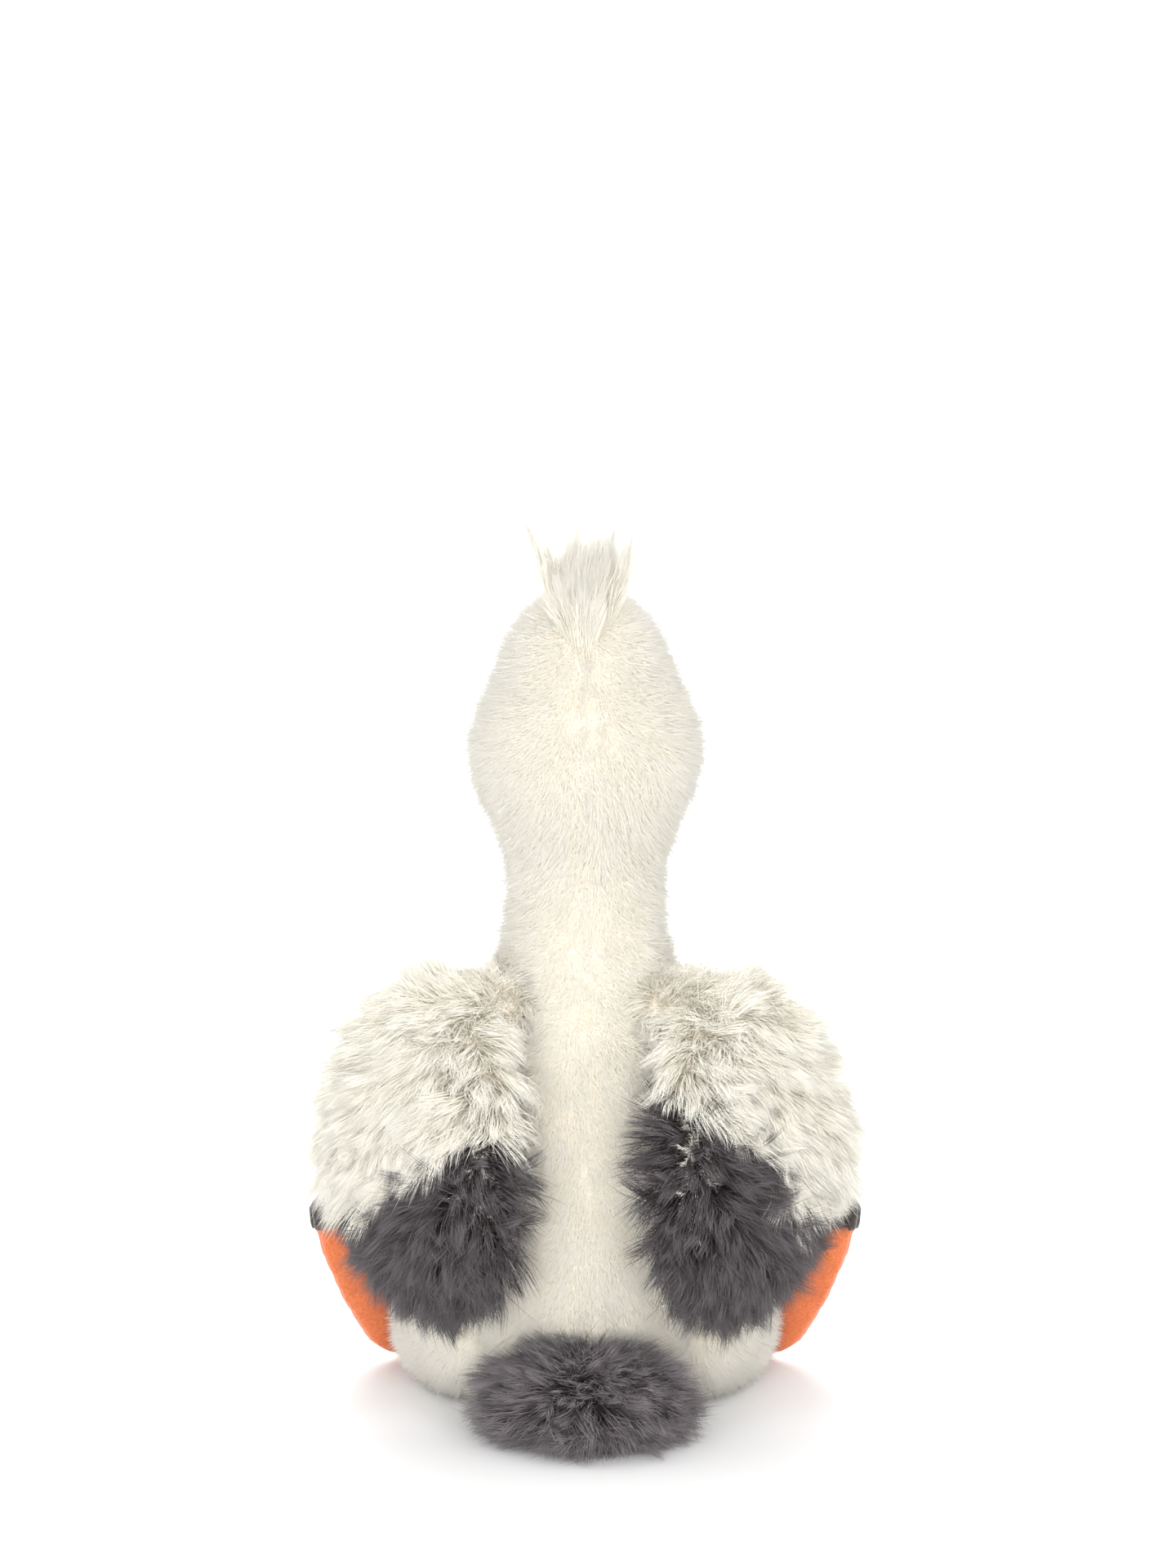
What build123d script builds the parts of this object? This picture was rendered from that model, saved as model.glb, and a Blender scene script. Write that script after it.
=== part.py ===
"""A sitting plush waterbird: every fabric cover, stuffing and fitting as its own closed solid.

Frame: +Z up, the bird faces -Y, and its left side is +X. The origin is on the floor under the middle
of the whole toy. Sizes are in millimetres. Soft covers are as thick as their backing and pile together.
"""

import os
from math import cos, radians, sin, tan

from build123d import *

# ---- driving dimensions ---------------------------------------------------------------------------
SHORT_PILE = 4.0  # body, neck and head cover: backing plus brushed pile
LONG_PILE = 13.0  # outer wing and tail cover: backing plus long shaggy pile
LINING = 6.0  # inner wing cover
FELT = 1.6  # bill and foot fabric
SLACK = 0.3  # gap between a cover and its stuffing
JOINT_GAP = 0.8  # radial gap between a soft ball end and its seat
BIG = 1000.0  # side of a cutting block

# (height, half width, half depth, centre x, centre y) of level cuts through the soft body and the head
TORSO_CUTS = [
    (0, 41, 40, 0, 2),
    (10, 48, 46, 0, 2),
    (32, 52.5, 50, 0, 1),
    (62, 53.5, 51, 0, 0),
    (92, 53, 50, 0, 0),
    (122, 48, 45, 0, 1),
    (148, 39.5, 38, 0, 1),
    (172, 31, 31, 0, 0),
]
HEAD_CUTS = [
    (212, 26.5, 26.5, 0, -3),
    (224, 31.5, 32, 0, -5),
    (237, 38, 38, 0, -8),
    (251, 40.5, 40, 0, -9),
    (263, 37, 38.5, 0, -9),
    (276, 31, 34.5, 0, -9),
    (289, 26.5, 30, 0, -8),
    (300, 20.5, 23, 0, -7),
    (308, 10, 11, 0, -6.5),
]

NECK_RADIUS = 26.5
NECK_FOOT = (0, 0, 176)  # centre of the neck's lower ball, and the axis it bends on
NECK_TOP = (0, -3, 214)  # centre of the upper ball, and the axis the head nods on
NECK_REACH = 30  # degrees of clear slope round the lower ball
HEAD_REACH = 25  # degrees of clear slope round the upper ball

BASE_PANEL = 4.0  # thickness of the flat panel the toy sits on
PELLET_TOP = 38  # height of the pellet pouch
POUCH_INSET = 9  # the pouch stays this far inside the body's outside

LEG_RADIUS = 23
LEG_SPLAY = 30  # degrees the resting legs point outwards from straight ahead
LEG_LONG = 18  # hip centre to ankle centre
HIP = (42, 14, LEG_RADIUS)
ANKLE = (
    HIP[0] + LEG_LONG * sin(radians(LEG_SPLAY)),
    HIP[1] - LEG_LONG * cos(radians(LEG_SPLAY)),
    LEG_RADIUS,
)
HIP_SWING = 20  # degrees the leg can still swing outwards
LEG_COVER = 3.5

FOOT_THICK = 12
FOOT_GAP = 1.2  # between the leg's end and the foot's back
FOOT_REACH = LEG_RADIUS + FOOT_GAP + FOOT_THICK / 2  # ankle centre to the foot's middle layer
FOOT_HEEL = (
    ANKLE[0] + FOOT_REACH * sin(radians(LEG_SPLAY)),
    ANKLE[1] - FOOT_REACH * cos(radians(LEG_SPLAY)),
    14,
)
FOOT_LEAN = 10  # degrees the toes fan outwards
CLAW_HIGH = 1.2

WING_AROUND = 40  # degrees from the side towards the back
# level cuts through a wing, before it is turned to its place: X outwards, Y towards the middle of the back
WING_CUTS = [
    (45, 10, 23, 74, 2),
    (60, 18, 40, 78, 0),
    (80, 22, 49, 80, 0),
    (104, 23, 51, 78, -3),
    (130, 22.5, 47, 71, -8),
    (152, 21, 37, 62, -12),
    (165, 17, 26, 57, -14),
    (172, 11, 15, 54, -14),
]
WING_SEAM_HIGH = 93  # height on the wing's middle line where the two piles meet
WING_SEAM_SLOPE = 43  # degrees that seam falls towards the wing's outer edge

TAIL_MIDDLE = (0, 73, 22)
TAIL_HALF = (40, 29, 22)
TAIL_GAP = 1.0  # between the tail and the body

CREST_MIDDLE = (0, 7, 314)
CREST_HALF = (15, 9, 22)

# (y, centre height, half width, half height) of upright cuts through the bill
BILL_CUTS = [
    (-36, 257, 18, 14.5),
    (-55, 256, 16.5, 13),
    (-75, 253.5, 13, 10),
    (-92, 250, 9.5, 7),
    (-102, 248, 4, 3),
]
MOUTH = ((0, -36, 254), (0, -102, 247.5))  # two points on the line between the bill's halves

EYE_SPOT = (29.5, -32, 264)
EYE_OUT = (0.80, -0.58, 0.15)
EYE_RADIUS = 4.4
SHANK_RADIUS = 1.7
SHANK_LONG = 9.5
WASHER_RADIUS = 6.0
WASHER_THICK = 1.2
WASHER_DEPTH = 6.2


# ---- helpers --------------------------------------------------------------------------------------
def level_loft(cuts, inset=0.0):
    """A smooth solid through level ellipses, drawn in by inset on every side."""
    sections = []
    last = len(cuts) - 1
    for i, (z, half_x, half_y, x, y) in enumerate(cuts):
        lift = inset if i == 0 else (-inset if i == last else 0.0)
        sections.append(Pos(x, y, z + lift) * Ellipse(max(half_x - inset, 2.0), max(half_y - inset, 2.0)))
    return loft(sections)


def bill_loft(inset=0.0):
    """The bill's tapering solid, which starts inside the head and points along -Y."""
    sections = []
    for i, (y, z, half_x, half_z) in enumerate(BILL_CUTS):
        back = inset if i == len(BILL_CUTS) - 1 else 0.0
        plane = Plane(origin=(0, y + back, z), x_dir=(1, 0, 0), z_dir=(0, -1, 0))
        sections.append(plane * Ellipse(max(half_x - inset, 1.0), max(half_z - inset, 1.0)))
    return loft(sections)


def ellipsoid(half):
    return scale(Sphere(1), by=tuple(half))


def capsule(start, end, radius):
    """A round-ended rod between two points."""
    way = Vector(*end) - Vector(*start)
    rod = Solid.make_cylinder(radius, way.length, Plane(origin=start, z_dir=way))
    return rod + Pos(*start) * Sphere(radius) + Pos(*end) * Sphere(radius)


def block(plane):
    """A large block on the +Z side of plane."""
    return plane * Pos(0, 0, BIG / 2) * Box(BIG, BIG, BIG)


def seat(centre, reach, upward):
    """What must be clear for a soft ball's rod to rock by reach degrees: the ball and all above a wide cone."""
    wide, tall = 90.0, 60.0
    rise = wide * tan(radians(reach))
    plane = Plane(origin=centre, x_dir=(1, 0, 0), z_dir=(0, 0, 1 if upward else -1))
    over = Pos(0, 0, (tall - rise) / 2) * Cylinder(wide, tall + rise)
    slope = Pos(0, 0, -rise / 2) * Cone(wide, 0, rise)
    return plane * (over - slope) + Pos(*centre) * Sphere(NECK_RADIUS + JOINT_GAP)


def mirrored(shape):
    return mirror(shape, about=Plane.YZ)


made = {}


def keep(name, shape):
    made[name] = shape


def keep_pair(name, shape):
    """The left piece, on +X, and its mirror image."""
    keep("left_" + name, shape)
    keep("right_" + name, mirrored(shape))


# ---- body -----------------------------------------------------------------------------------------
RIGHT_SIDE = block(Plane(origin=(0, 0, 0), z_dir=(-1, 0, 0)))
LEFT_SIDE = block(Plane(origin=(0, 0, 0), z_dir=(1, 0, 0)))
FRONT_SIDE = block(Plane(origin=(0, 0, 0), z_dir=(0, -1, 0)))
BACK_SIDE = block(Plane(origin=(0, 0, 0), z_dir=(0, 1, 0)))


def thigh_room():
    """Room for both legs over their whole swing."""
    leg = capsule(HIP, ANKLE, LEG_RADIUS + JOINT_GAP)
    room = leg
    steps = 3
    for i in range(1, steps + 1):
        room = room + leg.rotate(Axis(HIP, (0, 0, 1)), HIP_SWING * i / steps)
    return room + mirrored(room)


def make_torso():
    room = seat(NECK_FOOT, NECK_REACH, upward=True) + thigh_room()
    outside = level_loft(TORSO_CUTS)
    shell = outside - level_loft(TORSO_CUTS, SHORT_PILE) - room
    above_base = block(Plane(origin=(0, 0, BASE_PANEL)))
    walls = shell & above_base
    keep("base_panel", shell - above_base)
    keep("belly_panel", walls & FRONT_SIDE)
    keep("left_back_panel", walls & BACK_SIDE & LEFT_SIDE)
    keep("right_back_panel", walls & BACK_SIDE & RIGHT_SIDE)
    low = block(Plane(origin=(0, 0, PELLET_TOP), z_dir=(0, 0, -1)))
    pouch = (level_loft(TORSO_CUTS, POUCH_INSET) & low) - room
    pellets = (level_loft(TORSO_CUTS, POUCH_INSET + 1.2) - room) & Pos(0, 0, -1.2) * low
    wadding = level_loft(TORSO_CUTS, SHORT_PILE + SLACK) - room - pouch
    keep("pellet_pouch", pouch - pellets)
    keep("pellet_fill", pellets)
    keep("body_stuffing", wadding)


# ---- neck and head --------------------------------------------------------------------------------
def make_neck():
    outside = capsule(NECK_FOOT, NECK_TOP, NECK_RADIUS)
    cover = outside - capsule(NECK_FOOT, NECK_TOP, NECK_RADIUS - SHORT_PILE)
    keep("left_neck_panel", cover & LEFT_SIDE)
    keep("right_neck_panel", cover & RIGHT_SIDE)
    keep("neck_stuffing", capsule(NECK_FOOT, NECK_TOP, NECK_RADIUS - SHORT_PILE - SLACK))


def make_eye():
    """The left eye bead on its shank, and the lock washer behind the cover."""
    plane = Plane(origin=EYE_SPOT, z_dir=EYE_OUT)
    half = block(Plane(origin=(0, 0, 0)))
    bead = plane * (Sphere(EYE_RADIUS) & half)
    shank = plane * Pos(0, 0, -SHANK_LONG / 2) * Cylinder(SHANK_RADIUS, SHANK_LONG)
    ring = Cylinder(WASHER_RADIUS, WASHER_THICK) - Cylinder(SHANK_RADIUS + 0.05, WASHER_THICK)
    washer = plane * Pos(0, 0, -WASHER_DEPTH - WASHER_THICK / 2) * ring
    return bead + shank, washer


def make_head():
    socket = seat(NECK_TOP, HEAD_REACH, upward=False)
    outside = level_loft(HEAD_CUTS)
    cover = outside - level_loft(HEAD_CUTS, SHORT_PILE) - socket
    wadding = level_loft(HEAD_CUTS, SHORT_PILE + SLACK) - socket
    eye, washer = make_eye()
    room = Plane(origin=EYE_SPOT, z_dir=EYE_OUT) * Pos(0, 0, -SHANK_LONG / 2)
    room = room * Cylinder(WASHER_RADIUS + 0.2, SHANK_LONG + 0.6)
    cover = cover - eye - mirrored(eye)
    wadding = wadding - room - mirrored(room)
    keep("left_head_panel", cover & LEFT_SIDE)
    keep("right_head_panel", cover & RIGHT_SIDE)
    keep("head_stuffing", wadding)
    keep_pair("eye", eye)
    keep_pair("eye_washer", washer)
    crest = Pos(*CREST_MIDDLE) * ellipsoid(CREST_HALF)
    keep("crest_tuft", crest - outside)
    mouth_way = Vector(*MOUTH[1]) - Vector(*MOUTH[0])
    mouth_up = mouth_way.cross(Vector(-1, 0, 0))
    above_mouth = block(Plane(origin=MOUTH[0], x_dir=(1, 0, 0), z_dir=mouth_up))
    bill = bill_loft() - outside
    cover = bill - bill_loft(FELT)
    keep("bill_upper", cover & above_mouth)
    keep("bill_lower", cover - above_mouth)
    keep("bill_stuffing", bill_loft(FELT + SLACK) - level_loft(HEAD_CUTS, -SLACK))


# ---- wings ----------------------------------------------------------------------------------------
def make_wing():
    """The left wing, modelled on the X axis and then turned round the body to its place."""
    outside = level_loft(WING_CUTS)
    shift = (LONG_PILE - LINING) / 2
    wall = (LONG_PILE + LINING) / 2
    hollow = Pos(-shift, 0, 0) * level_loft(WING_CUTS, wall)
    wadding = Pos(-shift, 0, 0) * level_loft(WING_CUTS, wall + SLACK)
    spine = [(x, 0, z) for z, _, _, x, _ in WING_CUTS]
    low, high = (spine[0][0], 0, 0), (spine[-1][0], 0, 200)
    edge = [Line(low, spine[0]), Spline(*spine), Line(spine[-1], high)]
    edge += [Line(high, (200, 0, 200)), Line((200, 0, 200), (200, 0, 0)), Line((200, 0, 0), low)]
    outer_side = extrude(make_face(edge), 100, dir=(0, 1, 0), both=True)
    seam = radians(WING_SEAM_SLOPE)
    upper = block(Plane(origin=(0, 0, WING_SEAM_HIGH), x_dir=(1, 0, 0), z_dir=(0, -sin(seam), cos(seam))))
    face = (outside & outer_side) - hollow
    place = Rot(0, 0, WING_AROUND)
    keep_pair("wing_covert", place * (face & upper))
    keep_pair("wing_flight", place * (face - upper))
    keep_pair("wing_lining", place * ((outside - outer_side) - hollow))
    keep_pair("wing_stuffing", place * wadding)


# ---- legs and feet --------------------------------------------------------------------------------
def make_leg():
    inner = LEG_RADIUS - LEG_COVER
    keep_pair("leg_cover", capsule(HIP, ANKLE, LEG_RADIUS) - capsule(HIP, ANKLE, inner))
    keep_pair("leg_stuffing", capsule(HIP, ANKLE, inner - SLACK))


def foot_outline():
    """A webbed foot seen on its sole: heel below the origin, three toes above it, with hollow webs between."""
    edge = [
        ThreePointArc((0, -14), (15.5, -7.5), (24.8, 8.3)),
        ThreePointArc((24.8, 8.3), (32, 30), (36.5, 53)),
        ThreePointArc((36.5, 53), (33, 64), (24.5, 61)),
        ThreePointArc((24.5, 61), (15.5, 60.5), (8.5, 70)),
        ThreePointArc((8.5, 70), (5.8, 79.6), (0, 82)),
    ]
    other = [mirror(e, about=Plane.YZ) for e in edge]
    return make_face([*edge, *other])


def foot_frame():
    """The left foot's own axes: X to its inner side, Y up to its toes, Z out of its upper face."""
    turn, lean = radians(LEG_SPLAY), radians(FOOT_LEAN)
    level = Vector(cos(turn), sin(turn), 0)
    toes = level * sin(lean) + Vector(0, 0, cos(lean))
    inner = level * -cos(lean) + Vector(0, 0, sin(lean))
    return Plane(origin=FOOT_HEEL, x_dir=inner, z_dir=inner.cross(toes))


def make_foot():
    frame = foot_frame()
    outline = foot_outline()
    pocket = offset(outline, -2.0)
    filling = offset(outline, -2.0 - SLACK)
    half = FOOT_THICK / 2
    sole = extrude(Pos(0, 0, -half) * outline, FELT)
    box = extrude(Pos(0, 0, -half + FELT) * outline, FOOT_THICK - FELT)
    hollow = extrude(Pos(0, 0, -half + FELT) * pocket, FOOT_THICK - 2 * FELT)
    wadding = extrude(Pos(0, 0, -half + FELT + SLACK) * filling, FOOT_THICK - 2 * FELT - 2 * SLACK)
    claws = []
    for x, y, swing in ((29.5, 57.5, 30), (0, 75, 0), (-29.5, 57.5, -30)):
        patch = Pos(x, y, half) * Rot(0, 0, -swing) * Ellipse(3.6, 4.8)
        claws.append(extrude(patch, CLAW_HIGH))
    keep_pair("foot_sole", frame * sole)
    keep_pair("foot_upper", frame * (box - hollow))
    keep_pair("foot_stuffing", frame * wadding)
    keep_pair("claws", frame * Compound(children=claws))


# ---- tail -----------------------------------------------------------------------------------------
def make_tail():
    place = Pos(*TAIL_MIDDLE)
    wall = LONG_PILE * 0.6
    body = level_loft(TORSO_CUTS, -TAIL_GAP)
    lined_body = level_loft(TORSO_CUTS, -TAIL_GAP - LINING / 2)
    stuffed_body = level_loft(TORSO_CUTS, -TAIL_GAP - LINING / 2 - SLACK)
    hollow = place * ellipsoid([h - wall for h in TAIL_HALF]) - lined_body
    cover = place * ellipsoid(TAIL_HALF) - body - hollow
    upper = block(Plane(origin=(0, 0, TAIL_MIDDLE[2])))
    keep("tail_top_cover", cover & upper)
    keep("tail_under_cover", cover - upper)
    keep("tail_stuffing", place * ellipsoid([h - wall - SLACK for h in TAIL_HALF]) - stuffed_body)


def main():
    make_torso()
    make_neck()
    make_head()
    make_wing()
    make_leg()
    make_foot()
    make_tail()
    os.makedirs("parts", exist_ok=True)
    for name, shape in made.items():
        export_step(Compound(children=list(shape.solids())), f"parts/{name}.step")


main()
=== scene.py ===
from math import cos, pi, radians, sin

import bpy
import numpy as np
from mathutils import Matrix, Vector
from mathutils.kdtree import KDTree


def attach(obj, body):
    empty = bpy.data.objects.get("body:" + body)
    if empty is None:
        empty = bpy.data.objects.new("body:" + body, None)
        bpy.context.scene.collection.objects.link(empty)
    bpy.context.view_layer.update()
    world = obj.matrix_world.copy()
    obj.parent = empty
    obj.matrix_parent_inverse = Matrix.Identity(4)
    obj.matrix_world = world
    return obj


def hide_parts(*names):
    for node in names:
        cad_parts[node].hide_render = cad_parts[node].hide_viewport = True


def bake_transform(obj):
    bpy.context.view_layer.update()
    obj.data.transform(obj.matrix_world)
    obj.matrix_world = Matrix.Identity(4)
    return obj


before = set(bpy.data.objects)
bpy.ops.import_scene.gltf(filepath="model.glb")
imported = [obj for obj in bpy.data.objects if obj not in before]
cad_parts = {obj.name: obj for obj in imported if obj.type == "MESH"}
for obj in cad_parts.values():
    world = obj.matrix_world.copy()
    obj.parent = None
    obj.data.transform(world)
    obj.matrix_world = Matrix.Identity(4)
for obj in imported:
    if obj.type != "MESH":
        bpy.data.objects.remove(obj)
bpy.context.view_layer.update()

MM = 0.001
UP = np.array([0.0, 0.0, 1.0])
FLOOR_CLEAR = 0.35 * MM
PILE_DENSITY = 3.4  # strands of short pile for each square mm
ROOT_DEPTH = 0.4  # how far under the skin a strand of short pile starts, in mm
TUFT_STRANDS, TUFT_PULL = 14, 0.3  # how many strands of short pile draw together, and how far
TIP_TAPER = 0.12  # a strand's radius at its tip, as a share of that at its root
FINE_STRAND = (0.15, 0.23)  # radius of short pile, from and to, in mm
LONG_STRAND = (0.12, 0.19)  # radius of long pile

# Level cuts through the soft shapes, in mm: (height, half width, half depth, centre x, centre y)
PLUSH_CUTS = [
    (0, 37, 36, 0, 2),
    (2.5, 43, 41.5, 0, 2),
    (10, 47.5, 45.5, 0, 2),
    (32, 52, 49.5, 0, 1),
    (62, 53, 50.5, 0, 0),
    (92, 52.5, 49.5, 0, 0),
    (122, 47.5, 44.5, 0, 1),
    (148, 38.5, 37.5, 0, 1),
    (163, 32, 32, 0, 0.5),
    (178, 28, 28, 0, 0),
    (194, 26.2, 26.4, 0, -1.5),
    (208, 27.4, 27.6, 0, -3),
    (222, 31.2, 31.5, 0, -5),
    (236, 37.2, 37.3, 0, -8),
    (250, 40, 39.5, 0, -9),
    (263, 36.5, 38, 0, -9),
    (276, 30.5, 34, 0, -9),
    (288, 26, 29, 0, -8),
    (298, 20.5, 23, 0, -7),
    (304.5, 14, 15.5, 0, -6.5),
    (308, 6, 7, 0, -6.5),
]
WING_CUTS = [
    (45, 10, 23, 74, 2),
    (60, 18, 40, 78, 0),
    (80, 22, 49, 80, 0),
    (104, 23, 51, 78, -3),
    (130, 22.5, 47, 71, -8),
    (152, 21, 37, 62, -12),
    (165, 17, 26, 57, -14),
    (172, 11, 15, 54, -14),
]
PLUSH_SPLIT = 195  # height of the cut between the body's plush and the head's, in the middle of the neck
WING_AROUND = radians(40)  # how far the wings are turned about the body, from its sides to its back
WING_PAD_INSET = 8.5  # how far the wing's pad lies inside its cover
WING_INNER_INSET = 4.5  # the same at the wing's inner face
WING_OUTER_REACH = 6  # how far behind the wing's middle the long pile starts
WING_SEAM_HEIGHT = 93
WING_SEAM_RISE = {1: 0.85, -1: 1.35}  # how steeply the two piles' seam climbs to the back: left, right
WING_SEAM_WAVE = {1: 5.0, -1: 4.0}
# where each wing cover's pile fans out from, in the wing's own axes
COVERT_CROWN = np.array([50, 8, 140])
FLIGHT_CROWN = np.array([80, 26, 112])
TAIL_MIDDLE = np.array([0, 73, 22])
TAIL_HALF = np.array([40, 29, 22])
TAIL_ROOT = np.array([0, 46, 22])
HIP = np.array([42, 14, 23])
LEG_AIM = np.array([sin(radians(30)), -cos(radians(30)), 0])
LEG_LONG, LEG_RADIUS = 18, 23
FOOT_HEEL = HIP + LEG_AIM * (LEG_LONG + 30.2) + np.array([0, 0, -9])
FOOT_LEAN = radians(10)
FOOT_HALF_THICK = 3.2
CLAW_SPOTS = [(35, 58.5), (0, 78.5), (-35, 58.5)]
CLAW_RADIUS = 6.2
EYE_SPOT = np.array([29.5, -32, 264])
EYE_CLEAR = 4.2
LAMPS = [  # (name, place, aim, size, power, spread in degrees, colour)
    ("key", (-0.6, 1.9, 1.0), (0, 0, 0.15), 1.2, 13, 180, (1, 0.99, 0.97)),
    ("fill", (0.7, 2.0, 0.5), (0, 0, 0.15), 1.4, 11, 180, (0.99, 0.995, 1)),
    ("front", (0.2, -1.6, 1.6), (0, 0, 0.15), 1.6, 24, 180, (1, 1, 1)),
    ("low", (0.1, 1.5, 0.35), (0, 0, 0.075), 0.4, 0.17, 25, (1, 0.985, 0.96)),
]
SKY_STRENGTH = 1.18
FLOOR_HALF = 4000
CAMERA_TARGET = np.array([-0.0011, 0, 0.237])
CAMERA_DISTANCE, CAMERA_TILT = 1.8, radians(12)
CAMERA_LENS, CAMERA_SENSOR = 108.9, 36


# ---- numbers and shapes ---------------------------------------------------------------------------
def unit(v):
    return v / np.maximum(np.linalg.norm(v, axis=-1, keepdims=True), 1e-9)


def curve(x, xs, ys):
    """A smooth curve through the points (xs, ys), read at x."""
    xs, ys = np.array(xs, float), np.array(ys, float)
    slope = np.gradient(ys, xs)
    i = np.clip(np.searchsorted(xs, x, side="right") - 1, 0, len(xs) - 2)
    h = xs[i + 1] - xs[i]
    t = (x - xs[i]) / h
    start = (2 * t**3 - 3 * t**2 + 1) * ys[i] + (t**3 - 2 * t**2 + t) * h * slope[i]
    end = (3 * t**2 - 2 * t**3) * ys[i + 1] + (t**3 - t**2) * h * slope[i + 1]
    return start + end


def noise(points, size, seed):
    """Smooth noise from -1 to 1 at points, whose lumps are about size across."""
    lattice = np.random.default_rng(seed).uniform(-1, 1, (24, 24, 24))
    p = np.asarray(points, float) / size
    base = np.floor(p).astype(int)
    f = p - base
    f = f * f * (3 - 2 * f)
    total = np.zeros(len(p))
    for corner in np.ndindex(2, 2, 2):
        weight = np.prod(np.where(corner, f, 1 - f), axis=1)
        cell = (base + corner) % 24
        total += weight * lattice[cell[:, 0], cell[:, 1], cell[:, 2]]
    return total


def stack(cuts, rows, around, inset=0.0):
    """Points and quads of a closed skin through level ellipses, in mm, closed by a pole at each end."""
    cuts = np.array(cuts, float)
    z = cuts[:, 0]
    reach = np.concatenate([[0], np.cumsum(np.hypot(np.diff(z), np.diff(cuts[:, 1])))])
    s = np.linspace(0, reach[-1], rows)
    level = curve(s, reach, z)
    half_x = np.maximum(curve(s, reach, cuts[:, 1]) - inset, 1)
    half_y = np.maximum(curve(s, reach, cuts[:, 2]) - inset, 1)
    x, y = curve(s, reach, cuts[:, 3]), curve(s, reach, cuts[:, 4])
    level = level[0] + inset + (level - level[0]) * (1 - 2 * inset / (level[-1] - level[0]))
    angle = np.arange(around) * 2 * pi / around
    ring_x = x[:, None] + half_x[:, None] * np.cos(angle)
    ring_y = y[:, None] + half_y[:, None] * np.sin(angle)
    ring_z = np.repeat(level[:, None], around, axis=1)
    rings = np.stack([ring_x, ring_y, ring_z], axis=2).reshape(-1, 3)
    ends = np.array([[x[0], y[0], level[0]], [x[-1], y[-1], level[-1] + 0.4]])
    return np.vstack([rings, ends]), tube_faces(rows, around)


def tube_faces(rows, around):
    """Faces of a closed tube of rows rings, whose two end points come after the rings."""
    faces = []
    for i in range(rows - 1):
        for j in range(around):
            k = (j + 1) % around
            faces.append((i * around + j, i * around + k, (i + 1) * around + k, (i + 1) * around + j))
    first, last = rows * around, rows * around + 1
    for j in range(around):
        k = (j + 1) % around
        faces.append((first, k, j))
        faces.append((last, (rows - 1) * around + j, (rows - 1) * around + k))
    return faces


def ball(middle, half, rows, around):
    """Points and faces of an ellipsoid."""
    turn = np.linspace(-pi / 2, pi / 2, rows + 2)[1:-1]
    angle = np.arange(around) * 2 * pi / around
    x = np.cos(turn)[:, None] * np.cos(angle)
    y = np.cos(turn)[:, None] * np.sin(angle)
    z = np.repeat(np.sin(turn)[:, None], around, axis=1)
    rings = np.stack([x, y, z], axis=2).reshape(-1, 3)
    points = np.vstack([rings, [[0, 0, -1], [0, 0, 1]]]) * half + middle
    return points, tube_faces(rows, around)


def facing(faces, side):
    """The faces, turned over where side is -1 and the points are mirrored."""
    return faces if side > 0 else [tuple(reversed(f)) for f in faces]


def cut_out(faces):
    """The numbers of the points that the faces use, and the faces renumbered to those points."""
    used = np.unique([v for f in faces for v in f])
    number = {int(v): i for i, v in enumerate(used)}
    return used, [tuple(number[int(v)] for v in f) for f in faces]


def mesh_object(name, points, faces, material, smooth=True):
    """A mesh object from points in mm."""
    mesh = bpy.data.meshes.new(name)
    mesh.from_pydata((np.asarray(points) * MM).tolist(), [], [tuple(f) for f in faces])
    mesh.update()
    if smooth:
        mesh.shade_smooth()
    piece = bpy.data.objects.new(name, mesh)
    bpy.context.scene.collection.objects.link(piece)
    if material:
        mesh.materials.append(material)
    return piece


def finished_mesh(piece):
    """The piece's mesh with its modifiers applied. The piece itself is removed."""
    mesh = bpy.data.meshes.new_from_object(piece.evaluated_get(bpy.context.evaluated_depsgraph_get()))
    bpy.data.objects.remove(piece)
    return mesh


def surface_of(points, faces):
    """Triangles, smooth outward normals and the triangles' areas of a skin."""
    triangles = []
    for f in faces:
        for i in range(1, len(f) - 1):
            triangles.append((f[0], f[i], f[i + 1]))
    triangles = np.array(triangles)
    a, b, c = (points[triangles[:, i]] for i in range(3))
    cross = np.cross(b - a, c - a)
    normals = np.zeros_like(points)
    for i in range(3):
        np.add.at(normals, triangles[:, i], cross)
    return triangles, unit(normals), np.linalg.norm(cross, axis=1) / 2


def raised(points, normals, height):
    """The points moved out along their normals by height."""
    return points + normals * height[:, None]


def groove(offset, width, depth):
    """The depth of a rounded groove, which is deepest where offset is 0."""
    return depth * np.exp(-((offset / width) ** 2))


def scatter(points, faces, density, rng, keep=None):
    """Random points on a skin, with their normals. density is per square mm; keep picks the ones wanted."""
    triangles, normals, area = surface_of(points, faces)
    count = int(area.sum() * density)
    pick = rng.choice(len(triangles), count, p=area / area.sum())
    u, v = rng.random(count), rng.random(count)
    flip = u + v > 1
    u[flip], v[flip] = 1 - u[flip], 1 - v[flip]
    corner = triangles[pick]
    weights = np.stack([1 - u - v, u, v], axis=1)[:, :, None]
    spots = (points[corner] * weights).sum(axis=1)
    out = unit((normals[corner] * weights).sum(axis=1))
    if keep is not None:
        chosen = keep(spots)
        spots, out = spots[chosen], out[chosen]
    return spots, out


def swirl_of(points, size, seeds):
    """A slowly turning direction, whose eddies are about size across."""
    return np.stack([noise(points, size, seed) for seed in seeds], axis=1)


def along_surface(direction, normals):
    """direction laid flat on the surface."""
    return unit(direction - (direction * normals).sum(axis=1, keepdims=True) * normals)


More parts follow.
